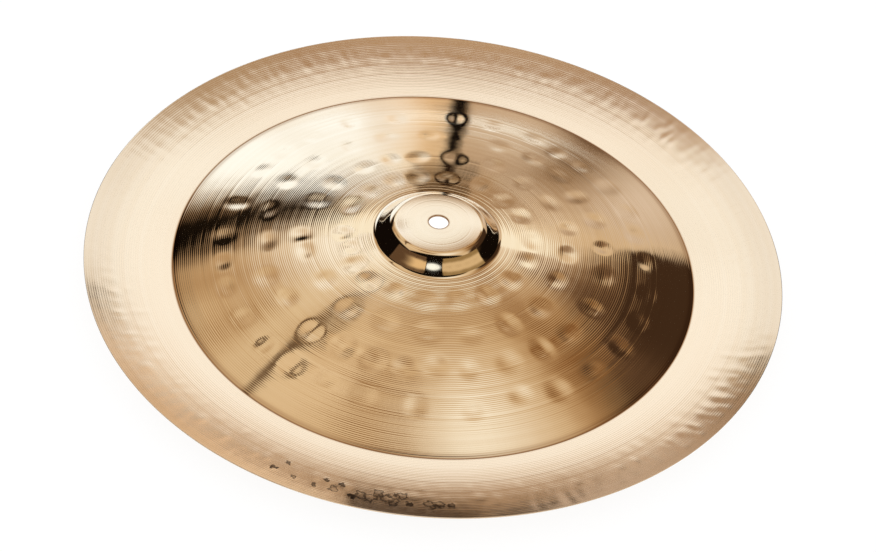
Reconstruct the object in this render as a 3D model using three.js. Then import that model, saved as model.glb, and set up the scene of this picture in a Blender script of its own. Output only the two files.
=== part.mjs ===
// An 18 inch china cymbal, pressed, hammered and turned from one disc of bronze: a flat-topped bell,
// an arched bow, a sharp fold, and a flange that turns up again to the rim.
// Millimetres, +Z up. The origin is on the cymbal's axis, level with the underside of the fold,
// which is the ring that the cymbal rests on.
import * as THREE from "three";

// Diameters. All but the rim and the hole are at the sharp corners that the radii below round off.
const rimDiameter = 457.2; // 18 inches
const foldDiameter = 346.4; // where the bow meets the flange
const bellDiameter = 83; // where the bell's wall meets the bow
const bellTopDiameter = 61; // where the bell's top meets its wall
const seatDiameter = 26; // the flat middle of the bell's top, which the felt washers clamp
const holeDiameter = 13; // for the stand's rod in its sleeve

// Heights of the upper face, from one corner to the next
const flangeRise = 16.3; // fold to rim
const bowRise = 20.5; // fold to the foot of the bell
const bellRise = 9.8; // foot of the bell to its shoulder
const bellDome = 1; // shoulder of the bell to the seat

// How far the middle of each stretch stands above its chord
const flangeArch = -1.1;
const bowArch = 3.2;
const bellTopArch = 0.25;

// Radii of the rounded corners, on the upper face
const foldRadius = 2.5;
const bellFootRadius = 5;
const shoulderRadius = 9;

// The sheet thins evenly from the seat to the rim, because it is turned down on the lathe.
const seatThickness = 1.2;
const rimThickness = 0.8;

// Hammer marks on the bow, struck from above in rings about the axis
const markInset = 33.2; // from the fold to the middle of the outermost ring
const markRingPitch = 26.4;
const markLength = 20; // along the ring
const markWidth = 19.5; // across the ring
const markDepth = 0.42;
const markWander = 3; // how far a mark strays from its ring, each way
const markSpreadShare = 0.22; // how much the size and depth of a mark vary, each way
const markSeed = 607; // picks which marks stray, and which way

// Where the hammer fell on each ring, in degrees about the axis from +X. It fell by hand, so unevenly.
const markTurns = [
  [-173, -161, -146, -130, -112, -93, -74, -55, -35, -14, 4, 27, 45, 65, 87, 107, 123, 142, 160],
  [-174, -164, -144, -125, -108, -90, -72, -55, -38, -19, -1, 15, 33, 50, 67, 85, 103, 116, 130, 148, 163],
  [
    -172, -156, -144, -128, -116, -105, -96, -86, -76, -63, -50, -39, -24, -8, 6, 20, 33, 46, 58, 71, 96,
    112, 127, 142, 156, 172,
  ],
  [
    -176, -166, -157, -145, -134, -124, -115, -104, -91, -77, -64, -54, -42, -31, -20, -9, 3, 14, 24, 35,
    46, 55, 64, 77, 88, 106, 120, 133, 144, 154, 170,
  ],
];

// Facets
const holeFacets = 32;
const bellFacets = 60;
const rimFacets = 108;
const bellCornerSteps = 2; // to the middle of each rounded corner
const foldSteps = 1; // to the middle of the fold
const flangeSteps = 3;
const columnsPerMark = 4; // middle, halfway to the end, gap, halfway into the next mark

const fullTurn = 2 * Math.PI;
const holeRadius = holeDiameter / 2;
const rimRadius = rimDiameter / 2;
const seat = { r: seatDiameter / 2, z: bowRise + bellRise + bellDome };
const shoulder = { r: bellTopDiameter / 2, z: bowRise + bellRise };
const foot = { r: bellDiameter / 2, z: bowRise };
const fold = { r: foldDiameter / 2, z: 0 };
const rim = { r: rimRadius, z: flangeRise };

// A stretch of the upper face between two corners: a parabola that rises by arch over its chord.
// A station is a radius with the height and the slope of the upper face there.
function stretch(from, to, arch) {
  const run = to.r - from.r;
  const rise = to.z - from.z;
  return {
    stationAt(r) {
      const share = (r - from.r) / run;
      const z = from.z + rise * share + 4 * arch * share * (1 - share);
      return { r, z, slope: Math.atan((rise + 4 * arch * (1 - 2 * share)) / run) };
    },
  };
}

const bellTop = stretch(seat, shoulder, bellTopArch);
const bellWall = stretch(shoulder, foot, 0);
const bow = stretch(foot, fold, bowArch);
const flange = stretch(fold, rim, flangeArch);

// Stations along the arc that rounds the corner between two stretches. A station falls on the
// lowest or highest point of the arc where it has one.
function roundedCorner(corner, radius, before, after, steps) {
  const slopeIn = before.stationAt(corner.r).slope;
  const slopeOut = after.stationAt(corner.r).slope;
  const side = Math.sign(slopeOut - slopeIn); // 1 in a valley, -1 on a ridge
  const tangent = radius * Math.tan(Math.abs(slopeOut - slopeIn) / 2);
  const centre = {
    r: corner.r - tangent * Math.cos(slopeIn) - side * radius * Math.sin(slopeIn),
    z: corner.z - tangent * Math.sin(slopeIn) + side * radius * Math.cos(slopeIn),
  };
  const turnsOver = slopeIn * slopeOut < 0;
  const middle = turnsOver ? 0 : (slopeIn + slopeOut) / 2;
  const slopes = [];
  for (let i = 0; i < steps; i++) slopes.push(slopeIn + ((middle - slopeIn) * i) / steps);
  for (let i = 0; i <= steps; i++) slopes.push(middle + ((slopeOut - middle) * i) / steps);
  return slopes.map((slope) => ({
    r: centre.r + side * radius * Math.sin(slope),
    z: centre.z - side * radius * Math.cos(slope),
    slope,
  }));
}

// A row is a ring of points about the axis, each a station with its turn about the axis and the depth
// that the hammer has sunk it.
function plainRow(station, count) {
  const turnAt = (i) => (fullTurn * i) / count - Math.PI;
  return Array.from({ length: count }, (_, i) => ({ ...station, turn: turnAt(i), sunk: 0 }));
}

// A repeatable number from -1 to 1 for each whole number, in place of a hand's unevenness.
function uneven(n) {
  const wave = Math.sin(127.1 * n + 311.7) * 43758.5453;
  return 2 * (wave - Math.floor(wave)) - 1;
}

function ringOfMarks(ringRadius, turns) {
  return turns.map((degrees, i) => {
    const seed = 4 * (i + turns.length * turns.length) + markSeed;
    return {
      r: ringRadius + markWander * uneven(seed),
      turn: THREE.MathUtils.degToRad(degrees),
      length: markLength * (1 + markSpreadShare * uneven(seed + 1)),
      width: markWidth * (1 + markSpreadShare * uneven(seed + 2)),
      depth: markDepth * (1 + markSpreadShare * uneven(seed + 3)),
    };
  });
}

// One point of a mark, by its shares of the way from the middle to the end and to the side.
function markPoint(mark, alongShare, acrossShare) {
  const outShare = Math.min(1, Math.hypot(alongShare, acrossShare));
  return {
    ...bow.stationAt(mark.r + (acrossShare * mark.width) / 2),
    turn: mark.turn + (alongShare * mark.length) / 2 / mark.r,
    sunk: (mark.depth * (1 + Math.cos(Math.PI * outShare))) / 2,
  };
}

// Three rows through a ring of marks. Their points follow the marks, so every mark is a bowl.
function markedRows(marks) {
  return [-1 / 2, 0, 1 / 2].map((acrossShare) =>
    marks.flatMap((mark, i) => {
      const lapped = i + 1 === marks.length;
      const following = marks[lapped ? 0 : i + 1];
      const next = lapped ? { ...following, turn: following.turn + fullTurn } : following;
      const gapRadius = (mark.r + next.r) / 2 + (acrossShare * markWidth) / 2;
      const gap = { ...bow.stationAt(gapRadius), turn: (mark.turn + next.turn) / 2, sunk: 0 };
      return [
        markPoint(mark, 0, acrossShare),
        markPoint(mark, 1 / 2, acrossShare),
        gap,
        markPoint(next, -1 / 2, acrossShare),
      ];
    })
  );
}

// The bow's rows, from the bell outwards: each ring of marks, and the plain metal beyond it.
function bowRows() {
  return markTurns.flatMap((turns, i) => {
    const ringRadius = fold.r - markInset - (markTurns.length - 1 - i) * markRingPitch;
    const beyond = bow.stationAt(ringRadius + markRingPitch / 2);
    return [...markedRows(ringOfMarks(ringRadius, turns)), plainRow(beyond, columnsPerMark * turns.length)];
  });
}

function flangeRows() {
  return Array.from({ length: flangeSteps }, (_, i) => {
    const r = fold.r + ((rim.r - fold.r) * (i + 1)) / flangeSteps;
    return plainRow(flange.stationAt(r), rimFacets);
  });
}

// Every row of the sheet, from the hole to the rim.
function sheetRows() {
  const bellStations = [
    ...roundedCorner(shoulder, shoulderRadius, bellTop, bellWall, bellCornerSteps),
    ...roundedCorner(foot, bellFootRadius, bellWall, bow, bellCornerSteps),
  ];
  const foldStations = roundedCorner(fold, foldRadius, bow, flange, foldSteps);
  return [
    plainRow({ r: holeRadius, z: seat.z, slope: 0 }, holeFacets),
    plainRow({ r: seat.r, z: seat.z, slope: 0 }, bellFacets),
    ...bellStations.map((station) => plainRow(station, bellFacets)),
    ...bowRows(),
    ...foldStations.map((station) => plainRow(station, rimFacets)),
    ...flangeRows(),
  ];
}

function thicknessAt(r) {
  const share = Math.max(0, (r - seat.r) / (rimRadius - seat.r));
  return seatThickness + (rimThickness - seatThickness) * share;
}

// The lower face lies one thickness below the upper one, measured square to the sheet.
function dropToLowerFace(point) {
  return { ...point, z: point.z - thicknessAt(point.r) / Math.cos(point.slope) };
}

// Triangles between two rows that may differ in their number of points. Each step goes on to
// whichever next point comes first around the axis.
function joinRows(rowA, rowB, triangles) {
  const nextTurn = (row, i) => row[(i + 1) % row.length].turn + (i + 1 < row.length ? 0 : fullTurn);
  let a = 0;
  let b = 0;
  while (a < rowA.length || b < rowB.length) {
    const pointA = rowA[a % rowA.length].index;
    const pointB = rowB[b % rowB.length].index;
    const stepsA = b === rowB.length || (a < rowA.length && nextTurn(rowA, a) <= nextTurn(rowB, b));
    if (stepsA) {
      triangles.push(pointA, pointB, rowA[(a + 1) % rowA.length].index);
      a += 1;
    } else {
      triangles.push(pointA, pointB, rowB[(b + 1) % rowB.length].index);
      b += 1;
    }
  }
}

// The closed sheet: out along the upper face, over the rim, and back along the lower face to the hole.
function sheetGeometry() {
  const upper = sheetRows();
  const lower = upper.map((row) => row.map(dropToLowerFace)).reverse();
  const rows = [...upper, ...lower];
  const restHeight = Math.min(...lower.flat().map((point) => point.z));
  const positions = [];
  rows.flat().forEach((point, index) => {
    point.index = index;
    const x = point.r * Math.cos(point.turn);
    const y = point.r * Math.sin(point.turn);
    positions.push(x, y, point.z - point.sunk - restHeight);
  });
  const triangles = [];
  rows.forEach((row, i) => joinRows(row, rows[(i + 1) % rows.length], triangles));
  const geometry = new THREE.BufferGeometry();
  geometry.setAttribute("position", new THREE.Float32BufferAttribute(positions, 3));
  geometry.setIndex(triangles);
  geometry.computeVertexNormals();
  return geometry;
}

const bronze = new THREE.MeshStandardMaterial({ color: 0xdcb277, roughness: 0.16, metalness: 1 });

const cymbal = new THREE.Mesh(sheetGeometry(), bronze);
cymbal.name = "cymbal";

const chinaCymbal = new THREE.Group();
chinaCymbal.add(cymbal);

export default chinaCymbal;
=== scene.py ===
"""An 18 inch china cymbal of hammered, lathed and polished bronze, on a pale studio floor.

Metres, +Z up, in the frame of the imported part: the origin is on the cymbal's axis, on the floor.
Radii and heights of the section are in millimetres, as in the part's source.
"""
import math

import bpy
import numpy as np
from mathutils import Matrix, Vector


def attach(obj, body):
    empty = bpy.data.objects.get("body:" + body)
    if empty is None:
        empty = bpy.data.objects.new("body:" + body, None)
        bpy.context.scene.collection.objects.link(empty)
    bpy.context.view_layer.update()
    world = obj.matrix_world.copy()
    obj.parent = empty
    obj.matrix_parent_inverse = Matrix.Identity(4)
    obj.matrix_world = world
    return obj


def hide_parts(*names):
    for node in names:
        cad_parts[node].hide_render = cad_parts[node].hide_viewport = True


MM = 0.001

# The section of the upper face. All but the rim and the hole are at the sharp corners that the
# radii below round off.
RIM_DIAMETER = 457.2
FOLD_DIAMETER = 346.4
BELL_DIAMETER = 83.0
BELL_TOP_DIAMETER = 61.0
SEAT_DIAMETER = 26.0
HOLE_DIAMETER = 13.0
FLANGE_RISE = 16.3
BOW_RISE = 20.5
BELL_RISE = 9.8
BELL_DOME = 1.0
FLANGE_ARCH = -1.1
BOW_ARCH = 3.2
BELL_TOP_ARCH = 0.25
FOLD_RADIUS = 2.5
BELL_FOOT_RADIUS = 5.0
SHOULDER_RADIUS = 9.0
SEAT_THICKNESS = 1.2
RIM_THICKNESS = 0.8
REST_DROP = 0.8357  # from the fold's sharp corner on the upper face down to the resting plane

# Finer forms of the sheet, which the part's source leaves out
WALL_EASE = 3.0  # degrees: the bell's wall is steeper by this mid-way, and flatter at its ends
FOLD_GROOVE_DEPTH = 0.05
FOLD_GROOVE_HALF = 0.7  # half its width
RIPPLE_HEIGHT = 0.0025  # of each of the waves that keep the bow from being quite even
RIPPLE_LENGTHS = [11, 12.5, 14, 15.5, 17, 19, 21, 23, 25, 28]
RIPPLE_FADE = 5.0  # the stretch at either end of the bow over which the waves die out
RIPPLE_HEADING_SEED = 900
RIPPLE_PHASE_SEED = 950

# Hammer marks on the bow, in the rings and with the unevenness of the part's source
MARK_INSET = 33.2
MARK_RING_PITCH = 26.4
MARK_LENGTH = 20.0
MARK_WIDTH = 19.5
MARK_DEPTH = 0.42
MARK_WANDER = 3.0
MARK_SPREAD = 0.22
MARK_SEED = 607
MARK_TURNS = [
    [-173, -161, -146, -130, -112, -93, -74, -55, -35, -14, 4, 27, 45, 65, 87, 107, 123, 142, 160],
    [-174, -164, -144, -125, -108, -90, -72, -55, -38, -19, -1, 15, 33, 50, 67, 85, 103, 116, 130,
     148, 163],
    [-172, -156, -144, -128, -116, -105, -96, -86, -76, -63, -50, -39, -24, -8, 6, 20, 33, 46, 58,
     71, 96, 112, 127, 142, 156, 172],
    [-176, -166, -157, -145, -134, -124, -115, -104, -91, -77, -64, -54, -42, -31, -20, -9, 3, 14,
     24, 35, 46, 55, 64, 77, 88, 106, 120, 133, 144, 154, 170],
]

# Small hammer marks in rings on the flange: each ring's radius, number of marks and their depth
FLANGE_MARK_RINGS = [(212.0, 137, 0.04), (202.0, 113, 0.02), (221.0, 151, 0.022)]
FLANGE_MARK_LENGTH = 10.0
FLANGE_MARK_WIDTH = 15.0
FLANGE_MARK_WANDER = 2.5  # how far a mark strays from its ring, each way
FLANGE_MARK_TURN_SPREAD = 0.3  # how far it strays along its ring, each way, in shares of the pitch
FLANGE_MARK_SPREAD = 0.25  # how much its size varies, each way
FLANGE_MARK_DEPTH_SPREAD = 0.6
FLANGE_MARK_SEED = 5000
FLANGE_RING_SEEDS = 1000  # seeds kept for each ring
FLANGE_MARK_SEEDS = 5  # seeds for each mark
FLANGE_RING_TURN = 0.5  # how far each ring is turned from the one before, in shares of the pitch
# Dark spots painted on the near side of the flange, as painted dark reflections, each over a small
# dent:
# radius, degrees about the axis, radius of the spot, and how bright its middle is left
FLANGE_PAINTED_REFLECTION_SPOTS = [
    (216, -111.4, 2.6, 0.2), (207, -110, 2.4, 0.3), (217, -107.8, 2.4, 0.5),
    (218, -104.6, 2.6, 0.3), (210, -103.4, 2.2, 0.2), (217, -101.6, 3.6, 0.8),
    (211, -100.6, 2.6, 0.2), (219, -98.6, 2.6, 0.0), (216, -97.4, 4.2, 0.9),
    (217, -95.9, 4.4, 1.0), (212, -94.8, 4.0, 0.7), (216, -93.4, 4.6, 1.0),
    (218, -92.3, 4.0, 0.8), (211, -91.3, 4.4, 0.9), (218, -89.8, 2.6, 0.1),
    (217, -87, 4.4, 0.9), (216, -85.6, 3.6, 0.8), (217, -83.6, 3.0, 0.4),
]
SPOT_DENT_DEPTH = 0.05
SPOT_DENT_DEPTH_SPREAD = 0.4
SPOT_DENT_SIZE = 1.3  # radius of its dent, in radii of its spot
SPOT_DENT_SEED = 8100
# Colour and cover of the painted dark reflection in each spot
REFLECTION_SPOT_TINT = (0.035, 0.016, 0.006)
REFLECTION_SPOT_COVER = 0.92
REFLECTION_SPOT_STRAY = 9.0  # the range over which noise moves a spot's outline
REFLECTION_SPOT_STRAY_SCALE = 240.0
REFLECTION_SPOT_SOLID = 0.65  # share of a spot's radius from which it fades
REFLECTION_SPOT_BRIGHT_MIDDLE = (0.35, 0.8)  # shares of it between which the bright middle gives way to the dark spot

# How finely the upper face is meshed. The lower face has every second ring and half the segments.
BELL_SEGMENTS = 200
BOW_SEGMENTS = 400
FLANGE_SEGMENTS = 800
BELL_TOP_STEPS = 8
SHOULDER_STEPS = 11  # to the middle of the rounded corner, as with the foot and the fold
WALL_STEPS = 14
FOOT_STEPS = 7
BOW_STEPS = 62
FOLD_STEPS = 5
FLANGE_STEPS = 38
SEAT_RING = 9.0  # a ring on the flat of the seat
HOLE_EDGE = 0.25  # from the hole to the next ring
RIM_EDGE = 0.3  # from the last ring to the rim

# The finishes, in the order of the sheet's materials, and where one gives way to the next
BOW_FINISH, FLANGE_FINISH, BELL_FINISH = range(3)
BOW_FINISH_PAST_FOLD = 0.6
BELL_FINISH_INSET = 2.5  # from the bell's shoulder

# The camera, found from the ellipses of the rim, the fold, the bell and the hole
CAMERA_DISTANCE = 1.05
CAMERA_ELEVATION = math.radians(43.093)
CAMERA_ROLL = math.radians(5.907)
CAMERA_SENSOR = 36.0  # millimetres, as is the lens
CAMERA_LENS = 64.585
CAMERA_SHIFT = (0.00339, -0.02215)
CAMERA_REACH = 200.0


def uneven(n):
    """A repeatable number from -1 to 1 for each whole number."""
    wave = math.sin(127.1 * n + 311.7) * 43758.5453
    return 2 * (wave - math.floor(wave)) - 1


class Stretch:
    """The upper face between two corners (radius, height): a parabola that rises over its chord."""

    def __init__(self, start, end, arch):
        self.start = start
        self.run = end[0] - start[0]
        self.rise = end[1] - start[1]
        self.arch = arch

    def at(self, r):
        """(radius, height, slope) at a radius."""
        share = (r - self.start[0]) / self.run
        z = self.start[1] + self.rise * share + 4 * self.arch * share * (1 - share)
        slope = math.atan((self.rise + 4 * self.arch * (1 - 2 * share)) / self.run)
        return (r, z, slope)

    def stations(self, r_from, r_to, steps):
        """Stations between two radii, leaving out both ends."""
        return [self.at(r_from + (r_to - r_from) * i / steps) for i in range(1, steps)]


SEAT = (SEAT_DIAMETER / 2, BOW_RISE + BELL_RISE + BELL_DOME)
SHOULDER = (BELL_TOP_DIAMETER / 2, BOW_RISE + BELL_RISE)
FOOT = (BELL_DIAMETER / 2, BOW_RISE)
FOLD = (FOLD_DIAMETER / 2, 0.0)
RIM = (RIM_DIAMETER / 2, FLANGE_RISE)
BELL_TOP = Stretch(SEAT, SHOULDER, BELL_TOP_ARCH)
BELL_WALL = Stretch(SHOULDER, FOOT, 0.0)
BOW = Stretch(FOOT, FOLD, BOW_ARCH)
FLANGE = Stretch(FOLD, RIM, FLANGE_ARCH)


def rounded_corner(corner, radius, before, after, steps):
    """Stations along the arc that rounds a corner, one of them on its lowest or highest point."""
    slope_in = before.at(corner[0])[2]
    slope_out = after.at(corner[0])[2]
    side = math.copysign(1, slope_out - slope_in)
    tangent = radius * math.tan(abs(slope_out - slope_in) / 2)
    centre_r = corner[0] - tangent * math.cos(slope_in) - side * radius * math.sin(slope_in)
    centre_z = corner[1] - tangent * math.sin(slope_in) + side * radius * math.cos(slope_in)
    middle = 0.0 if slope_in * slope_out < 0 else (slope_in + slope_out) / 2
    slopes = [slope_in + (middle - slope_in) * i / steps for i in range(steps)]
    slopes += [middle + (slope_out - middle) * i / steps for i in range(steps + 1)]
    return [
        (centre_r + side * radius * math.sin(s), centre_z - side * radius * math.cos(s), s)
        for s in slopes
    ]


def thickness_at(r):
    """Thickness square to the sheet, which thins evenly from the seat to the rim."""
    share = max(0.0, (r - SEAT[0]) / (RIM[0] - SEAT[0]))
    return SEAT_THICKNESS + (RIM_THICKNESS - SEAT_THICKNESS) * share


def ring_of_marks(ring_radius, turns):
    """Marks as (radius, turn, half length, half width, depth)."""
    marks = []
    for i, degrees in enumerate(turns):
        seed = 4 * (i + len(turns) ** 2) + MARK_SEED
        marks.append((
            ring_radius + MARK_WANDER * uneven(seed),
            math.radians(degrees),
            MARK_LENGTH / 2 * (1 + MARK_SPREAD * uneven(seed + 1)),
            MARK_WIDTH / 2 * (1 + MARK_SPREAD * uneven(seed + 2)),
            MARK_DEPTH * (1 + MARK_SPREAD * uneven(seed + 3)),
        ))
    return marks


def bow_marks():
    """The marks of the part's source, ring by ring from the bell outwards."""
    marks = []
    for i, turns in enumerate(MARK_TURNS):
        radius = FOLD[0] - MARK_INSET - (len(MARK_TURNS) - 1 - i) * MARK_RING_PITCH
        marks += ring_of_marks(radius, turns)
    return marks


def flange_marks():
    """The small marks in rings on the flange, and a dent under each painted dark spot."""
    marks = []
    for ring, (radius, count, depth) in enumerate(FLANGE_MARK_RINGS):
        for i in range(count):
            seed = FLANGE_MARK_SEED + FLANGE_RING_SEEDS * ring + FLANGE_MARK_SEEDS * i
            place = i + FLANGE_MARK_TURN_SPREAD * uneven(seed + 1) + FLANGE_RING_TURN * ring
            marks.append((
                radius + FLANGE_MARK_WANDER * uneven(seed),
                2 * math.pi * place / count,
                FLANGE_MARK_LENGTH / 2 * (1 + FLANGE_MARK_SPREAD * uneven(seed + 2)),
                FLANGE_MARK_WIDTH / 2 * (1 + FLANGE_MARK_SPREAD * uneven(seed + 3)),
                depth * (1 + FLANGE_MARK_DEPTH_SPREAD * uneven(seed + 4)),
            ))
    for i, (radius, degrees, size, _) in enumerate(FLANGE_PAINTED_REFLECTION_SPOTS):
        depth = SPOT_DENT_DEPTH * (1 + SPOT_DENT_DEPTH_SPREAD * uneven(SPOT_DENT_SEED + i))
        marks.append((radius, math.radians(degrees), SPOT_DENT_SIZE * size, SPOT_DENT_SIZE * size, depth))
    return marks


def sunk_by(marks, r, turn):
    """How far the marks sink the sheet at each point of a ring at radius r."""
    sunk = np.zeros(len(turn))
    for mark_r, mark_turn, half_length, half_width, depth in marks:
        across = (r - mark_r) / half_width
        if abs(across) >= 1:
            continue
        apart = (turn - mark_turn + math.pi) % (2 * math.pi) - math.pi
        along = apart * mark_r / half_length
        out = np.minimum(1, np.hypot(along, across))
        sunk += depth * (1 + np.cos(math.pi * out)) / 2
    return sunk


def wall_stations(start, end, steps):
    """Stations of the bell's wall between two radii. It is steepest in its middle."""
    stations = []
    ease = math.radians(WALL_EASE)
    for r, z, slope in BELL_WALL.stations(start, end, steps):
        turn = 2 * math.pi * (r - start) / (end - start)
        rise = ease * (end - start) * math.sin(turn) / (2 * math.pi)
        stations.append((r, z + rise, slope + ease * math.cos(turn)))
    return stations


def ripple(x, y):
    """Height of the bow's slight unevenness."""
    height = np.zeros_like(x)
    for i, length in enumerate(RIPPLE_LENGTHS):
        heading = math.pi * uneven(RIPPLE_HEADING_SEED + i)
        wave = 2 * math.pi * (x * math.cos(heading) + y * math.sin(heading)) / length
        height += RIPPLE_HEIGHT * np.sin(wave + math.pi * uneven(RIPPLE_PHASE_SEED + i))
    return height


def upper_stations():
    """The upper face from the hole to the rim, as (segments, stations) zones."""
    shoulder = rounded_corner(SHOULDER, SHOULDER_RADIUS, BELL_TOP, BELL_WALL, SHOULDER_STEPS)
    foot = rounded_corner(FOOT, BELL_FOOT_RADIUS, BELL_WALL, BOW, FOOT_STEPS)
    fold = rounded_corner(FOLD, FOLD_RADIUS, BOW, FLANGE, FOLD_STEPS)
    hole = HOLE_DIAMETER / 2
    bell = [(r, SEAT[1], 0.0) for r in (hole, hole + HOLE_EDGE, SEAT_RING, SEAT[0])]
    bell += BELL_TOP.stations(SEAT[0], shoulder[0][0], BELL_TOP_STEPS) + shoulder
    bell += wall_stations(shoulder[-1][0], foot[0][0], WALL_STEPS) + foot
    bow = BOW.stations(foot[-1][0], fold[0][0], BOW_STEPS)
    flange = FLANGE.stations(fold[-1][0], RIM[0] - RIM_EDGE, FLANGE_STEPS)
    last = [FLANGE.at(RIM[0] - RIM_EDGE), FLANGE.at(RIM[0])]
    return [(BELL_SEGMENTS, bell), (BOW_SEGMENTS, bow + fold), (FLANGE_SEGMENTS, flange + last)]


def lower_stations():
    """Every second ring and half the segments, for the lower face."""
    zones = []
    for segments, stations in upper_stations():
        kept = stations[::2]
        if stations[-1] not in kept:
            kept = kept + [stations[-1]]
        zones.append((segments // 2, kept))
    return zones


def rings_of(zones, marks, lower):
    """Each zone's stations as rings of points: (x, y, z) arrays in metres.

    The lower face lies one thickness below the upper one, and has no groove at the fold.
    """
    rings = []
    for segments, stations in zones:
        turn = 2 * math.pi * np.arange(segments) / segments
        for r, z, slope in stations:
            x, y = r * np.cos(turn), r * np.sin(turn)
            height = z - sunk_by(marks, r, turn) + REST_DROP
            if lower:
                height -= thickness_at(r) / math.cos(slope)
            else:
                off = min(1, abs(r - FOLD[0]) / FOLD_GROOVE_HALF)
                height -= FOLD_GROOVE_DEPTH * (1 + math.cos(math.pi * off)) / 2
            if FOOT[0] < r < FOLD[0]:
                fade = min(1, (r - FOOT[0]) / RIPPLE_FADE, (FOLD[0] - r) / RIPPLE_FADE)
                height += fade * ripple(x, y)
            rings.append(np.stack([x, y, height], -1) * MM)
    return rings


def join(a, b, a_count, b_count):
    """Faces between two rings of points, numbered from a and from b.

    One count divides the other.
    """
    if a_count == b_count:
        return [
            (a + i, b + i, b + (i + 1) % b_count, a + (i + 1) % a_count) for i in range(a_count)
        ]
    faces = []
    if a_count < b_count:
        many = b_count // a_count
        for i in range(a_count):
            i_next = (i + 1) % a_count
            half = many // 2
            for k in range(half):
                faces.append((a + i, b + many * i + k, b + many * i + k + 1))
            faces.append((a + i, b + many * i + half, a + i_next))
            for k in range(half, many):
                faces.append((a + i_next, b + many * i + k, b + (many * i + k + 1) % b_count))
        return faces
    return [tuple(reversed(face)) for face in join(b, a, b_count, a_count)]


def sheet_mesh():
    """The closed sheet: out along the upper face, over the rim, and back along the lower face."""
    marks = bow_marks() + flange_marks()
    rings = rings_of(upper_stations(), marks, False)
    rings += rings_of(lower_stations(), marks, True)[::-1]
    starts = np.cumsum([0] + [len(ring) for ring in rings])
    faces = []
    for i, ring in enumerate(rings):
        k = (i + 1) % len(rings)
        faces += join(int(starts[i]), int(starts[k]), len(ring), len(rings[k]))
    mesh = bpy.data.meshes.new("cymbal_sheet")
    mesh.from_pydata(np.concatenate(rings).tolist(), [], faces)
    mesh.polygons.foreach_set("use_smooth", [True] * len(mesh.polygons))
    middles = np.empty(3 * len(mesh.polygons))
    mesh.polygons.foreach_get("center", middles)
    radii = np.hypot(*middles.reshape(-1, 3)[:, :2].T) / MM
    on_bell = radii < SHOULDER[0] - BELL_FINISH_INSET
    finish = np.where(on_bell, BELL_FINISH, BOW_FINISH)
    finish = np.where(radii > FOLD[0] + BOW_FINISH_PAST_FOLD, FLANGE_FINISH, finish)
    mesh.polygons.foreach_set("material_index", finish.tolist())
    mesh.update()
    return mesh


class Nodes:
    """A short way to add nodes to a tree and join them."""

    def __init__(self, tree):
        self.tree = tree
        tree.nodes.clear()

    def add(self, kind, inputs=None, **settings):
        node = self.tree.nodes.new(kind)
        for name, value in settings.items():
            setattr(node, name, value)
        for name, value in (inputs or {}).items():
            if isinstance(value, bpy.types.NodeSocket):
                self.tree.links.new(value, node.inputs[name])
            else:
                node.inputs[name].default_value = value
        return node

    def math(self, operation, a, b=0.0, c=0.0):
        inputs = {0: a, 1: b, 2: c}
        return self.add("ShaderNodeMath", inputs, operation=operation).outputs[0]

    def vector(self, operation, a, b=None, output=0):
        inputs = {0: a} if b is None else {0: a, 1: b}
        node = self.add("ShaderNodeVectorMath", inputs, operation=operation)
        return node.outputs[output]

    def ramp(self, value, low, high, to_low=0.0, to_high=1.0):
        node = self.add("ShaderNodeMapRange", {
            "Value": value, "From Min": low, "From Max": high, "To Min": to_low, "To Max": to_high,
        }, interpolation_type="SMOOTHSTEP")
        return node.outputs["Result"]

    def mix(self, factor, a, b):
        node = self.add("ShaderNodeMix", data_type="RGBA")
        for socket, value in ((0, factor), (6, a), (7, b)):
            if isinstance(value, bpy.types.NodeSocket):
                self.tree.links.new(value, node.inputs[socket])
            else:
                node.inputs[socket].default_value = value
        return node.outputs[2]


# Turning lines, alike on all finishes: noise by radius in three widths, and what each does.
# Lengths are in millimetres.
COARSE_PITCH = 4.0
FINE_PITCH = 0.5
SWELL_PITCH = 9.0
FEED_STRAY = 2.0  # radians by which coarse noise moves the lines
SWELL_LEAST = 0.5  # share of their depth that the lines keep everywhere
SWELL_SPREAD = 0.8
LINES_FADE_IN = 6.0
RING_EDGE = 0.4  # share of a ring's depth that is left at its half width
CLOUD_SCALE = 14.0
TINT_BY_CLOUD = 0.35
TINT_BY_LINES = 0.45
STAIN_AND_SHADE = (0.30, 0.13, 0.035)  # painted shade: a dark brown tint for lines in the fold and at the hole's edge and a faint band near the rim; in the fold it stands for the dark that the groove shows, with some residue there too
STAIN_AND_SHADE_EDGE = 0.5  # share of a dark line's cover that is left at its half width
POLISHED = {
    "light": (0.90, 0.73, 0.50), "deep": (0.84, 0.65, 0.41),
    "rough": 0.055, "rough_spread": 0.02, "anisotropic": 0.8,
    "pitch": 1.3, "feed_depth": 0.015, "coarse_depth": 0.018, "fine_depth": 0.001,
    "wander": 0.5, "wander_scale": 9.0, "from_radius": 41.0,
    "rings": [
        (155.0, 0.03, 1.0), (147.5, 0.05, 1.2), (134.0, 0.03, 1.0), (127.6, 0.03, 1.0),
        (117.0, 0.03, 1.0), (84.0, 0.03, 1.0), (72.5, 0.03, 0.9), (52.5, 0.02, 0.7),
        (48.8, 0.03, 0.7), (45.6, 0.03, 0.6),
    ],
    "stains_and_shade": [(173.3, 0.9, 0.6), (171.5, 0.4, 1.2)], "painted_reflection_spots": False,
}
FLANGE_SATIN = {
    "light": (0.935, 0.785, 0.605), "deep": (0.88, 0.70, 0.50),
    "rough": 0.085, "rough_spread": 0.03, "anisotropic": 0.8,
    "pitch": 1.45, "feed_depth": 0.003, "coarse_depth": 0.010, "fine_depth": 0.001,
    "wander": 0.6, "wander_scale": 12.0, "from_radius": 0.0,
    "rings": [(204.0, 0.0035, 0.6), (195.0, 0.0035, 0.6), (183.0, 0.0035, 0.6)],
    "stains_and_shade": [(173.3, 0.85, 0.6), (223.0, 0.16, 13.0)], "painted_reflection_spots": True,
}
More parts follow.
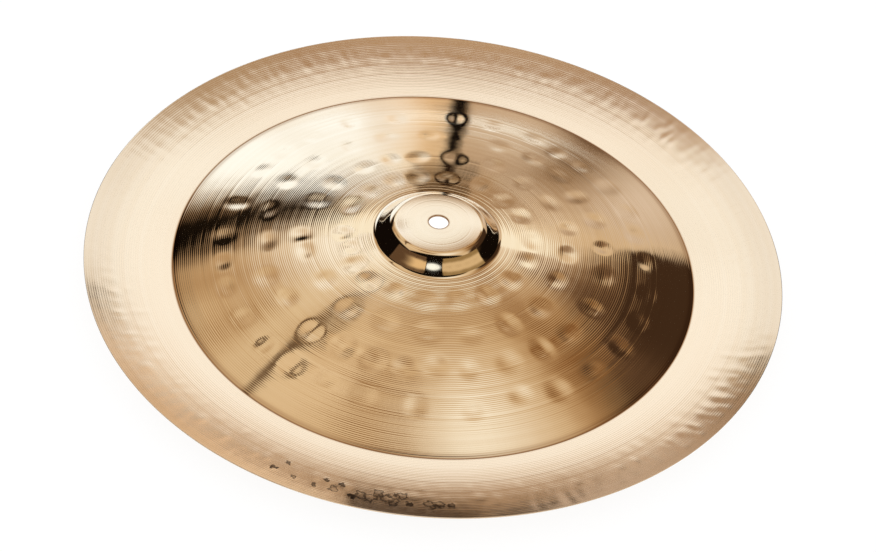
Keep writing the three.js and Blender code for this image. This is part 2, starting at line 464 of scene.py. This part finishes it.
BELL_SATIN = {
    "light": (0.94, 0.80, 0.62), "deep": (0.90, 0.74, 0.53),
    "rough": 0.16, "rough_spread": 0.04, "anisotropic": 0.5,
    "pitch": 1.6, "feed_depth": 0.002, "coarse_depth": 0.012, "fine_depth": 0.002,
    "wander": 0.3, "wander_scale": 9.0, "from_radius": 0.0,
    "rings": [(22.0, 0.012, 0.5), (17.0, 0.012, 0.5), (11.5, 0.02, 0.4)],
    "stains_and_shade": [(6.7, 0.9, 0.5)], "painted_reflection_spots": False,
}


def painted_reflection_spots(n, flat):
    """How far the painted dark reflections on the flange cover it. Noise breaks their outlines."""
    noise = n.add("ShaderNodeTexNoise", {
        "Vector": flat, "Scale": REFLECTION_SPOT_STRAY_SCALE, "Detail": 3.0}).outputs["Color"]
    stray = n.vector("SUBTRACT", noise, (0.5, 0.5, 0.5))
    stray = n.vector("MULTIPLY", stray, (REFLECTION_SPOT_STRAY * MM, REFLECTION_SPOT_STRAY * MM, 0))
    strayed = n.vector("ADD", flat, stray)
    cover = 0.0
    for radius, degrees, size, bright_middle in FLANGE_PAINTED_REFLECTION_SPOTS:
        turn = math.radians(degrees)
        centre = (radius * math.cos(turn) * MM, radius * math.sin(turn) * MM, 0)
        away = n.vector("DISTANCE", strayed, centre, "Value")
        spot = n.ramp(away, REFLECTION_SPOT_SOLID * size * MM, size * MM, REFLECTION_SPOT_COVER, 0.0)
        middle = n.ramp(away, REFLECTION_SPOT_BRIGHT_MIDDLE[0] * size * MM, REFLECTION_SPOT_BRIGHT_MIDDLE[1] * size * MM, bright_middle, 0.0)
        spot = n.math("MULTIPLY", spot, n.math("SUBTRACT", 1.0, middle))
        cover = n.math("MAXIMUM", cover, spot)
    return cover


def bronze(name, look):
    """Bronze with turning lines about the axis. look holds what differs between finishes.

    Its lengths are in millimetres: "pitch" from one line to the next, "wander" by which the lines
    stray, "from_radius" where the lines begin, "rings" as (radius, depth, half width) and
    "stains_and_shade" as (radius, cover, half width): dark lines painted in the fold and at the
    hole's edge and a faint band near the rim, painted shade with some residue in the fold.
    "painted_reflection_spots" says whether it has the dark reflections painted on the flange.
    """
    material = bpy.data.materials.new(name)
    material.use_nodes = True
    n = Nodes(material.node_tree)
    place = n.add("ShaderNodeTexCoord").outputs["Object"]
    flat = n.vector("MULTIPLY", place, (1, 1, 0))
    radius = n.vector("LENGTH", flat, output="Value")
    wander = n.add("ShaderNodeTexNoise", {
        "Vector": place, "Scale": look["wander_scale"], "Detail": 1.0})
    wandered = n.math("MULTIPLY_ADD", wander.outputs["Fac"], look["wander"] * MM, radius)

    def noise(pitch):
        """Noise that changes with the radius alone."""
        at = n.math("MULTIPLY", wandered, 1 / (pitch * MM))
        return n.add("ShaderNodeTexNoise", {"W": at, "Scale": 1.0, "Detail": 0.0},
                     noise_dimensions="1D").outputs["Fac"]

    coarse = noise(COARSE_PITCH)
    fine = noise(FINE_PITCH)
    feed = n.math("MULTIPLY", wandered, 2 * math.pi / (look["pitch"] * MM))
    feed = n.math("SINE", n.math("MULTIPLY_ADD", coarse, FEED_STRAY, feed))
    swell = n.math("MULTIPLY_ADD", noise(SWELL_PITCH), SWELL_SPREAD, SWELL_LEAST)
    height = n.math("MULTIPLY", n.math("MULTIPLY", feed, swell), look["feed_depth"])
    height = n.math("MULTIPLY_ADD", coarse, look["coarse_depth"], height)
    height = n.math("MULTIPLY_ADD", fine, look["fine_depth"], height)
    if look["from_radius"]:
        begin = look["from_radius"]
        begun = n.ramp(radius, begin * MM, (begin + LINES_FADE_IN) * MM)
        height = n.math("MULTIPLY", height, begun)
    for ring_r, depth, width in look["rings"]:
        away = n.math("DIVIDE", n.math("SUBTRACT", wandered, ring_r * MM), width * MM)
        groove = n.math("POWER", RING_EDGE, n.math("MULTIPLY", away, away))
        height = n.math("MULTIPLY_ADD", groove, -depth, height)
    bump = n.add("ShaderNodeBump", {"Height": height, "Strength": 1.0, "Distance": MM})

    cloud = n.add("ShaderNodeTexNoise", {"Vector": place, "Scale": CLOUD_SCALE, "Detail": 3.0})
    tint = n.math("MULTIPLY", coarse, TINT_BY_LINES)
    tint = n.math("MULTIPLY_ADD", cloud.outputs["Fac"], TINT_BY_CLOUD, tint)
    colour = n.mix(tint, (*look["light"], 1), (*look["deep"], 1))
    # Painted shade: darker lines in the fold and at the hole's edge, and a faint darker band near
    # the rim
    for ring_r, cover, width in look["stains_and_shade"]:
        away = n.math("DIVIDE", n.math("SUBTRACT", radius, ring_r * MM), width * MM)
        stain_and_shade = n.math("POWER", STAIN_AND_SHADE_EDGE, n.math("MULTIPLY", away, away))
        colour = n.mix(n.math("MULTIPLY", stain_and_shade, cover), colour, (*STAIN_AND_SHADE, 1))
    # Painted dark reflections in spots on the near side of the flange
    if look["painted_reflection_spots"]:
        colour = n.mix(painted_reflection_spots(n, flat), colour, (*REFLECTION_SPOT_TINT, 1))
    rough = n.math("SUBTRACT", fine, 0.5)
    rough = n.math("MULTIPLY_ADD", rough, look["rough_spread"], look["rough"])

    # The tangent runs round the axis. The quarter turn spreads the shine across the turning lines.
    tangent = n.add("ShaderNodeTangent", direction_type="RADIAL", axis="Z").outputs[0]
    shader = n.add("ShaderNodeBsdfPrincipled", {
        "Base Color": colour, "Metallic": 1.0, "Roughness": rough, "Normal": bump.outputs[0],
        "Anisotropic": look["anisotropic"], "Anisotropic Rotation": 0.25, "Tangent": tangent,
    })
    n.add("ShaderNodeOutputMaterial", {"Surface": shader.outputs[0]})
    return material


def direction(u, v):
    """Directions u degrees right and v degrees up of where a level mirror shows the camera."""
    away = np.radians(np.hypot(u, v))
    share = np.sinc(away / math.pi) * math.pi / 180  # sine of away over hypot(u, v)
    middle = np.array([0, math.cos(CAMERA_ELEVATION), math.sin(CAMERA_ELEVATION)])
    upward = np.array([0, -math.sin(CAMERA_ELEVATION), math.cos(CAMERA_ELEVATION)])
    rightward = np.array([1.0, 0, 0])
    aside = (u * share)[..., None] * rightward + (v * share)[..., None] * upward
    return np.cos(away)[..., None] * middle + aside


def smooth_step(share):
    """0 up to 0, 1 from 1 on, and smooth between them."""
    share = np.clip(share, 0, 1)
    return share * share * (3 - 2 * share)


def flag_cover(u, v, outline, cut=None):
    """Cover of a convex flag, less what lies within the convex outline cut.

    An outline is a list of (u, v, soft), anticlockwise, with soft for the edge that follows.
    """
    cover = np.ones_like(u) if cut is None else 1 - flag_cover(u, v, cut)
    for i, (u0, v0, soft) in enumerate(outline):
        u1, v1, _ = outline[(i + 1) % len(outline)]
        length = math.hypot(u1 - u0, v1 - v0)
        inside = ((u1 - u0) * (v - v0) - (v1 - v0) * (u - u0)) / length
        cover = cover * smooth_step(inside / soft + 0.5)
    return cover


def patch_cover(u, v, centre, half, turn):
    """Cover of a soft round patch, 1 in its middle and a half at its half sizes."""
    c, s = math.cos(math.radians(turn)), math.sin(math.radians(turn))
    a = ((u - centre[0]) * c + (v - centre[1]) * s) / half[0]
    b = ((v - centre[1]) * c - (u - centre[0]) * s) / half[1]
    return 0.5 ** (a * a + b * b)


BLACK = (0.006, 0.004, 0.003)
SURROUND = (0.76, 0.62, 0.46)
WHITE = (1.18, 1.38, 1.74)  # white light, as strong as brings the bronze near to white
SHADE_WARMTH = (1.0, 1.45, 2.0)  # a shade takes away more green than red, and more blue still
# What the panels over the bell leave out, and the brighter and darker streaks along them
IN_PANELS = [
    (-57.5, 8, 2), (57.5, 8, 2), (57, 28, 2), (53, 43, 2), (45, 57, 2), (33, 68.5, 2),
    (17, 76.5, 2), (-17, 76.5, 2), (-33, 68.5, 2), (-45, 57, 2), (-53, 43, 2), (-57, 28, 2)]
IN_STREAK = [
    (-62, 8, 3), (62, 8, 3), (62, 27, 3), (58.3, 43.5, 3), (50, 59.5, 3), (36.5, 72.5, 3),
    (19.5, 82, 3), (-19.5, 82, 3), (-36.5, 72.5, 3), (-50, 59.5, 3), (-58.3, 43.5, 3), (-62, 27, 3)]
IN_DARK_STREAK = [
    (66, 8, 1), (66, 26, 1), (62.3, 44.2, 1), (53.7, 61.2, 1), (39.7, 75.6, 1), (21, 85.5, 1),
    (-21, 85.5, 1), (-21, 8, 1)]
RIGHT_PANEL = [(17, 22, 2), (80, 22, 2), (80, 99, 2), (17, 99, 1)]
# The studio as the metal sees it, later over earlier, in degrees right and up of the mirror
# direction, where a level mirror shows the camera:
#   ("flag", colour, cover, outline, and where there is one, the outline that is cut out of it)
#   ("patch", colour, cover, centre, half sizes, turn)
#   ("shade", what it leaves of the red light, centre, half sizes, turn)
STUDIO = [
    # far to the sides and behind: light walls
    ("patch", (1.0, 0.97, 0.93), 1.0, (-110, 20), (35, 60), 0),
    ("patch", (1.0, 0.97, 0.93), 1.0, (110, 20), (35, 60), 0),
    ("patch", (1.0, 0.96, 0.9), 0.9, (0, 130), (60, 25), 0),
    ("patch", (1.06, 1.04, 1.0), 0.9, (75, 105), (20, 28), 35),
    ("patch", (1.06, 1.04, 1.0), 0.9, (-75, 105), (20, 28), -35),
    # the ceiling's lights and shades
    ("patch", (1.12, 1.20, 1.32), 0.95, (10, 41.5), (10, 8), 0),
    ("patch", (0.92, 0.80, 0.66), 0.7, (-20, 36), (8, 5), 30),
    ("patch", (0.98, 0.92, 0.80), 0.6, (-26, 22), (5, 9), 25),
    ("patch", (0.80, 0.68, 0.52), 0.7, (-16, 12), (7, 3), 10),
    ("patch", (0.95, 0.82, 0.66), 0.5, (-12, 27.5), (4, 4), 0),
    ("patch", (0.98, 0.88, 0.76), 0.5, (-10, 7.5), (3, 4), 0),
    ("patch", (1.0, 0.92, 0.80), 0.4, (-12, 30), (4, 3), 0),
    ("patch", (1.08, 1.12, 1.2), 0.45, (-10, 6), (3, 4), 0),
    ("shade", 0.7, (-8, 37.5), (4, 2.5), 20),
    ("shade", 0.5, (-3, 40.5), (6, 2.2), 0),
    ("shade", 0.6, (-10, 35), (2.5, 2.2), 0),
    ("shade", 0.45, (-15.5, 20), (2.5, 2.5), 0),
    ("shade", 0.85, (-30, 17.5), (4, 4), 0),
    ("shade", 0.78, (-5, 14.5), (2.5, 2.5), 0),
    ("shade", 0.7, (-26, 25), (3, 3), 0),
    ("shade", 0.42, (21, 20), (5, 3.5), 0),
    ("shade", 0.5, (20, 5), (2.6, 2.6), 0),
    ("shade", 0.75, (28, 28), (5, 4), 0),
    ("shade", 0.6, (10, 11), (3, 2.5), 0),
    ("shade", 0.45, (-12, 35), (6, 1.6), 25),
    ("shade", 0.55, (-4, 39.5), (4, 2.2), 0),
    ("shade", 0.6, (-31, 17.5), (3.5, 4), 0),
    ("shade", 0.68, (-34, 6.5), (9, 4), 0),
    ("shade", 0.85, (-26, 10), (8, 3), 0),
    ("shade", 0.72, (1, 15), (10, 4), -6),
    ("shade", 0.78, (0, 16.5), (4, 3), 0),
    ("shade", 0.65, (8, 9.5), (6, 4), 0),
    ("shade", 0.9, (4, 24), (12, 7), 0),
    ("shade", 0.5, (26, 16), (7, 9), 0),
    ("shade", 0.55, (34, 30), (4, 6), 0),
    # a dark slot in it, that the near side of the bow shows as a streak
    ("flag", (0.10, 0.055, 0.028), 0.9, [
        (-11, 15, 3), (-9.6, 16.8, 1.2), (-21, 25.5, 3), (-22.6, 23, 1.2)]),
    ("flag", (0.11, 0.06, 0.03), 0.9, [
        (-21, 22.5, 2), (-20, 24.6, 1.2), (-32, 35.2, 2), (-33, 34, 1.2)]),
    # lower left: a bright card, with a tan edge
    ("flag", (1.06, 0.89, 0.70), 1.0, [(-12, -60, 3), (0.8, -60, 3), (0.8, -7, 4), (-12, -7, 3)]),
    ("flag", WHITE, 1.0, [(-80, -60, 3), (-2.2, -60, 6), (-6.2, -8.5, 3), (-80, -10.5, 4)]),
    ("patch", (0.90, 0.74, 0.56), 0.5, (-7, -30), (3.5, 14), 0),
    ("shade", 0.5, (-38, -10), (6, 3), 8),
    ("shade", 0.9, (-14, -19), (2.5, 4), 30),
    ("shade", 0.9, (-21, -27), (3, 4), -30),
    ("shade", 0.9, (-9, -28), (2, 5), 0),
    ("shade", 0.8, (-10, -10), (3, 2.5), 0),
    ("shade", 0.6, (-35, -11), (8, 2.5), 3),
    # lower right: a dimmer one
    ("flag", (0.62, 0.50, 0.40), 1.0, [(1.2, -60, 2), (60, -60, 2), (60, -14, 2), (1.2, -7, 3)]),
    ("shade", 0.6, (8, -13), (9, 4.5), -8),
    ("patch", (0.86, 0.80, 0.82), 0.85, (27, -19), (4.5, 8), -15),
    ("patch", (0.70, 0.61, 0.56), 0.8, (8, -26), (5, 5), 0),
    ("patch", (0.84, 0.79, 0.77), 0.5, (10.5, -20.5), (3, 2.5), 0),
    ("patch", (1.6, 1.9, 2.3), 0.95, (8, -37), (11, 3.5), 6),
    ("patch", (0.13, 0.065, 0.03), 0.95, (17.2, -24.5), (4.2, 4.2), -20),
    # a strong soft light in the middle
    ("patch", (1.15, 1.26, 1.45), 0.95, (-11, 3), (9, 6), 0),
    ("patch", (1.02, 1.02, 1.01), 0.9, (-4, -10), (3, 4.5), 0),
    ("patch", (1.0, 0.98, 0.95), 0.7, (3.4, -8), (1.8, 3.5), 0),
    ("patch", (1.02, 1.0, 1.04), 0.85, (13, -1.5), (5.5, 5.5), 0),
    ("flag", (1.06, 1.12, 1.17), 1.0, [
        (-6, -11, 5), (6, -11, 5), (9, 0, 5), (3, 10, 4), (-5, 10, 4), (-9, 0, 5)]),
    ("shade", 0.88, (2.4, 8.2), (2, 2), 0),
    ("shade", 0.95, (2.2, 3), (1.6, 1.6), 0),
    ("shade", 0.88, (0, 13), (3, 2.2), 0),
    # the gap between the two cards
    ("shade", 0.5, (3, -10.5), (4, 2.5), 0),
    ("shade", 0.75, (-2.6, -20), (1.6, 4.5), 0),
    ("patch", (0.16, 0.09, 0.05), 0.7, (-0.2, -31), (1.5, 2.2), 0),
    ("patch", (0.16, 0.09, 0.05), 0.6, (-0.6, -19), (1.2, 2.2), 0),
    ("patch", (1.0, 1.0, 1.03), 0.5, (10, -9.5), (2.5, 2), 0),
    ("flag", BLACK, 1.0, [(0.9, -46, 0.5), (3.7, -46, 0.5), (0.7, -8.5, 0.5), (-0.6, -8.5, 0.5)]),
    # a black flag on the left, with a brown fringe that runs on to the middle
    ("flag", (0.24, 0.15, 0.09), 0.8, [
        (-80, -15.5, 4), (-5, -10, 3), (-5, -6.5, 3), (-28, 2.5, 4), (-80, 7, 4)]),
    ("flag", BLACK, 0.98, [
        (-80, -12, 2), (-12.5, -8.8, 2), (-12.5, -3.8, 2.5), (-27, -2.2, 2), (-80, 1.5, 2)]),
    ("flag", BLACK, 1.0, [
        (-80, -8, 2), (-28, -5, 3), (-29, -2.2, 2), (-35, 1.0, 2), (-80, 1.5, 2)]),
    # a dark door on the right
    ("shade", 0.8, (22, 3), (4.5, 9), 0),
    ("flag", (0.32, 0.20, 0.12), 0.8, [
        (16, 3.6, 3), (25.5, -3.5, 3), (38, -11.5, 2), (80, -25, 3), (80, 67, 3.5)]),
    ("patch", (0.10, 0.05, 0.03), 0.9, (20.5, 6), (3.2, 3.2), 0),
    ("flag", (0.055, 0.030, 0.018), 1.0, [
        (26, -6.2, 2), (38, -12.2, 1.5), (80, -27, 4), (80, 46, 14), (40, 36, 14), (26, 18, 3)]),
    ("patch", (0.22, 0.13, 0.08), 0.7, (35.5, 18), (2.5, 4), 0),
    # over the cymbal and at its sides, black
    ("flag", BLACK, 1.0, [(-80, 53, 5), (80, 53, 4), (80, 99, 3), (-80, 99, 4)]),
    ("flag", BLACK, 1.0, [(-80, -28, 4), (-42, -28, 6), (-42, 55, 4), (-80, 55, 4)]),
    ("flag", BLACK, 1.0, [(30, -62, 4), (80, -62, 4), (80, 45, 4), (42, 45, 6), (42, -30, 6)]),
    # low on both sides, below all that the bow shows
    ("flag", BLACK, 1.0, [
        (0, -95, 3), (80, -95, 3), (80, -20, 3), (45, -20, 3), (33, -32, 3), (24, -47, 3),
        (11, -70, 3)]),
    ("patch", (0.95, 0.66, 0.36), 0.6, (-28, -51), (3, 6), 0),
    ("flag", BLACK, 1.0, [
        (-80, -90, 3), (-34, -90, 3), (-31.5, -50, 2.5), (-37, -34, 3), (-42, -20, 3),
        (-80, -20, 3)]),
    # the panels that the bell's wall shows, and streaks along them
    ("flag", (0.125, 0.075, 0.045), 1.0, [
        (-80, 33, 2), (-17, 33, 1), (-17, 99, 3), (-80, 99, 4)], IN_PANELS),
    ("flag", (0.95, 0.72, 0.45), 0.9, [
        (-46, 33, 2), (-17, 33, 1), (-17, 99, 3), (-46, 99, 22)], IN_STREAK),
    ("flag", (0.34, 0.24, 0.12), 1.0, RIGHT_PANEL, IN_PANELS),
    ("flag", (0.82, 0.66, 0.46), 0.9, RIGHT_PANEL, IN_STREAK),
    ("flag", (0.36, 0.25, 0.12), 0.8, RIGHT_PANEL, IN_DARK_STREAK),
    ("flag", (1.2, 1.4, 1.7), 1.0, [(-16, 84.8, 1.5), (16, 86.3, 1), (16, 99, 3), (-16, 99, 1)]),
]
SURROUND_RADIUS = 0.9  # metres
SURROUND_RINGS = [(0.25, 45, 0.5), (45, 90, 1), (90, 180.1, 5)]  # its mesh: degrees from, to, step

# Upright cards across the far side, in millimetres: (how far back, colour, cover, outline across
# and up, cut), the nearest last. The near part of the flange shows those under 250 mm back, and
# the far part the others.
NEAR_FLANGE_CARD = [
    (0, 103, 4), (35, 111, 6), (62, 128, 8), (90, 148, 8), (115, 166, 8), (140, 190, 8),
    (140, 212, 8), (-140, 212, 8), (-140, 190, 8), (-115, 166, 8), (-90, 148, 8), (-62, 128, 6),
    (-35, 111, 4)]
CARDS = [
    (300, (1.08, 1.11, 1.14), 1.0, [
        (0, 187, 8), (50, 203, 8), (77, 233, 8), (94, 274, 8), (97, 306, 8), (-97, 306, 8),
        (-94, 274, 8), (-77, 233, 8), (-50, 203, 8)],
     [(-110, 312, 10), (-70, 290, 10), (-30, 268, 10), (-10, 262, 10), (10, 262, 10), (30, 270, 10),
      (50, 282, 10), (70, 297, 10), (90, 320, 10), (90, 500, 10), (-110, 500, 10)]),
    (299, (0.51, 0.38, 0.25), 0.9, [
        (-98, 306, 10), (-66, 287, 12), (-66, 345, 12), (-98, 345, 10)], None),
    (200, (1.08, 1.12, 1.16), 1.0, NEAR_FLANGE_CARD, None),
    (199.5, (0.84, 0.71, 0.58), 0.8, NEAR_FLANGE_CARD, [
        (-150, 187, 22), (-60, 165, 22), (10, 158, 22), (60, 164, 22), (150, 187, 22),
        (150, 240, 20), (-150, 240, 20)]),
    (199, (0.41, 0.27, 0.16), 1.0, NEAR_FLANGE_CARD, [
        (-150, 171, 22), (-60, 148, 22), (10, 144, 22), (60, 151, 22), (150, 174, 22),
        (150, 240, 20), (-150, 240, 20)]),
    (198, (0.03, 0.012, 0.004), 1.0, [
        (-28, 90, 8), (30, 90, 8), (32, 118, 10), (8, 125, 10), (-28, 126, 10)], None),
]
CARD_ACROSS = (-150, 150.1)
CARD_UP = (80, 360.1)
CARD_STEP = 3.0

FLOOR_HALF = 40.0  # metres
FLOOR_GREY = 0.15
FLOOR_GLOW = 0.87
HOLE_GLOW = 1.0  # of the floor that shows through the hole
HOLE_GLOW_REACH = (0.06, 0.10)  # metres from the axis, full to gone


def surround():
    """A dome round the cymbal, seen in reflections only, with the studio painted on it."""
    away = np.concatenate([np.arange(*ring) for ring in SURROUND_RINGS])
    around = np.radians(np.arange(0, 360, 1.0))
    u = away[:, None] * np.cos(around)
    v = away[:, None] * np.sin(around)
    tone = np.empty(u.shape + (4,))
    tone[...] = (*SURROUND, 1)
    for kind, value, *where in STUDIO:
        if kind == "shade":
            left = 1 - (1 - value) * patch_cover(u, v, *where)
            tone[..., :3] *= left[..., None] ** SHADE_WARMTH
            continue
        strength, *outline = where
        cover = flag_cover(u, v, *outline) if kind == "flag" else patch_cover(u, v, *outline)
        cover = (strength * cover)[..., None]
        tone[..., :3] = tone[..., :3] * (1 - cover) + np.array(value) * cover
    place = (direction(u, v) * SURROUND_RADIUS).reshape(-1, 3)
    rows, columns = u.shape
    faces = [
        (i * columns + k, i * columns + (k + 1) % columns,
         (i + 1) * columns + (k + 1) % columns, (i + 1) * columns + k)
        for i in range(rows - 1) for k in range(columns)
    ]
    faces.append(tuple(range(columns)))
    mesh = bpy.data.meshes.new("studio_surround")
    mesh.from_pydata(place.tolist(), [], faces)
    attribute = mesh.attributes.new("tone", "FLOAT_COLOR", "POINT")
    attribute.data.foreach_set("color", tone.ravel())
    material = bpy.data.materials.new("studio_lights_and_darks")
    material.use_nodes = True
    n = Nodes(material.node_tree)
    colour = n.add("ShaderNodeAttribute", attribute_name="tone").outputs["Color"]
    light = n.add("ShaderNodeEmission", {"Color": colour, "Strength": 1.0})
    n.add("ShaderNodeOutputMaterial", {"Surface": light.outputs[0]})
    material.cycles.emission_sampling = "NONE"
    mesh.materials.append(material)
    stage_for_reflections("studio_surround", mesh)


def stage_for_reflections(name, mesh):
    """Adds a studio piece that is seen in reflections only."""
    obj = bpy.data.objects.new(name, mesh)
    bpy.context.collection.objects.link(obj)
    obj.visible_camera = False
    obj.visible_diffuse = False
    obj.visible_shadow = False
    obj.visible_transmission = False


def cards():
    """The cards that the flange shows, and the bow hardly."""
    x, z = np.meshgrid(np.arange(*CARD_ACROSS, CARD_STEP), np.arange(*CARD_UP, CARD_STEP))
    rows, columns = x.shape
    for number, (back, colour, strength, outline, cut) in enumerate(CARDS):
        cover = strength * flag_cover(x, z, outline, cut)
        place = np.stack([x, np.full_like(x, back), z], -1).reshape(-1, 3) * MM
        faces = [
            (i * columns + k, i * columns + k + 1, (i + 1) * columns + k + 1, (i + 1) * columns + k)
            for i in range(rows - 1) for k in range(columns - 1)
            if cover[i:i + 2, k:k + 2].max() > 0
        ]
        mesh = bpy.data.meshes.new("studio_card_%d" % number)
        mesh.from_pydata(place.tolist(), [], faces)
        attribute = mesh.attributes.new("cover", "FLOAT", "POINT")
        attribute.data.foreach_set("value", cover.ravel())
        material = bpy.data.materials.new("studio_card_%d" % number)
        material.use_nodes = True
        n = Nodes(material.node_tree)
        light = n.add("ShaderNodeEmission", {"Color": (*colour, 1), "Strength": 1.0})
        clear = n.add("ShaderNodeBsdfTransparent")
        covered = n.add("ShaderNodeAttribute", attribute_name="cover").outputs["Fac"]
        both = n.add("ShaderNodeMixShader", {0: covered, 1: clear.outputs[0], 2: light.outputs[0]})
        n.add("ShaderNodeOutputMaterial", {"Surface": both.outputs[0]})
        material.cycles.emission_sampling = "NONE"
        mesh.materials.append(material)
        stage_for_reflections(mesh.name, mesh)


def studio():
    """A white world, a pale floor, and what the metal shows."""
    world = bpy.data.worlds.new("studio_world")
    bpy.context.scene.world = world
    world.use_nodes = True
    n = Nodes(world.node_tree)
    background = n.add("ShaderNodeBackground", {"Color": (1, 1, 1, 1), "Strength": 1.0})
    n.add("ShaderNodeOutputWorld", {"Surface": background.outputs[0]})

    floor_mesh = bpy.data.meshes.new("studio_floor")
    corners = [(-1, -1), (1, -1), (1, 1), (-1, 1)]
    floor_mesh.from_pydata(
        [(x * FLOOR_HALF, y * FLOOR_HALF, 0) for x, y in corners], [], [(0, 1, 2, 3)])
    floor = bpy.data.objects.new("studio_floor", floor_mesh)
    bpy.context.collection.objects.link(floor)
    material = bpy.data.materials.new("pale_floor")
    material.use_nodes = True
    n = Nodes(material.node_tree)
    path = n.add("ShaderNodeLightPath")
    seen = n.math("MAXIMUM", path.outputs["Is Camera Ray"], path.outputs["Is Glossy Ray"])
    seen = n.math("MAXIMUM", seen, path.outputs["Is Transmission Ray"])
    paper = n.add("ShaderNodeBsdfDiffuse", {"Color": (FLOOR_GREY, FLOOR_GREY, FLOOR_GREY, 1)})
    # Brighter where it shows through the hole, as the cymbal keeps the world's light from it there
    place = n.add("ShaderNodeTexCoord").outputs["Object"]
    away = n.vector("LENGTH", place, output="Value")
    level = n.ramp(away, *HOLE_GLOW_REACH, HOLE_GLOW, FLOOR_GLOW)
    glow = n.add("ShaderNodeEmission", {"Strength": n.math("MULTIPLY", seen, level)})
    both = n.add("ShaderNodeAddShader", {0: paper.outputs[0], 1: glow.outputs[0]})
    n.add("ShaderNodeOutputMaterial", {"Surface": both.outputs[0]})
    material.cycles.emission_sampling = "NONE"
    floor_mesh.materials.append(material)
    surround()
    cards()


def camera():
    """The camera, aimed at the axis where it meets the fold's level, then rolled and shifted."""
    data = bpy.data.cameras.new("camera")
    data.sensor_width = CAMERA_SENSOR
    data.lens = CAMERA_LENS
    data.shift_x, data.shift_y = CAMERA_SHIFT
    data.clip_end = CAMERA_REACH
    back = Vector((0, -math.cos(CAMERA_ELEVATION), math.sin(CAMERA_ELEVATION)))
    up = Vector((0, math.sin(CAMERA_ELEVATION), math.cos(CAMERA_ELEVATION)))
    right = Vector((1, 0, 0))
    across = right * math.cos(CAMERA_ROLL) + up * math.sin(CAMERA_ROLL)
    upward = up * math.cos(CAMERA_ROLL) - right * math.sin(CAMERA_ROLL)
    obj = bpy.data.objects.new("camera", data)
    bpy.context.collection.objects.link(obj)
    place = Matrix((across, upward, back)).transposed().to_4x4()
    place.translation = Vector((0, 0, REST_DROP * MM)) + back * CAMERA_DISTANCE
    obj.matrix_world = place
    bpy.context.scene.camera = obj


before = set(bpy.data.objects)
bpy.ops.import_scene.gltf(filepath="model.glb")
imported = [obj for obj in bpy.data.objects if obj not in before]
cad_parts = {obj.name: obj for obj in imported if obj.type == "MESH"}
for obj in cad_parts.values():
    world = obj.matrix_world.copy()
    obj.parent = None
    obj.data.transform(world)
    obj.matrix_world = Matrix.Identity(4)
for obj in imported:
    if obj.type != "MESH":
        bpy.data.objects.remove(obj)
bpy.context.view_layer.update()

sheet = bpy.data.objects.new("cymbal_sheet", sheet_mesh())
bpy.context.collection.objects.link(sheet)
sheet.data.materials.append(bronze("bronze_polished", POLISHED))
sheet.data.materials.append(bronze("bronze_flange", FLANGE_SATIN))
sheet.data.materials.append(bronze("bronze_bell_top", BELL_SATIN))
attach(sheet, "root")
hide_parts("cymbal")

studio()
camera()
bpy.context.scene.view_settings.view_transform = "Standard"
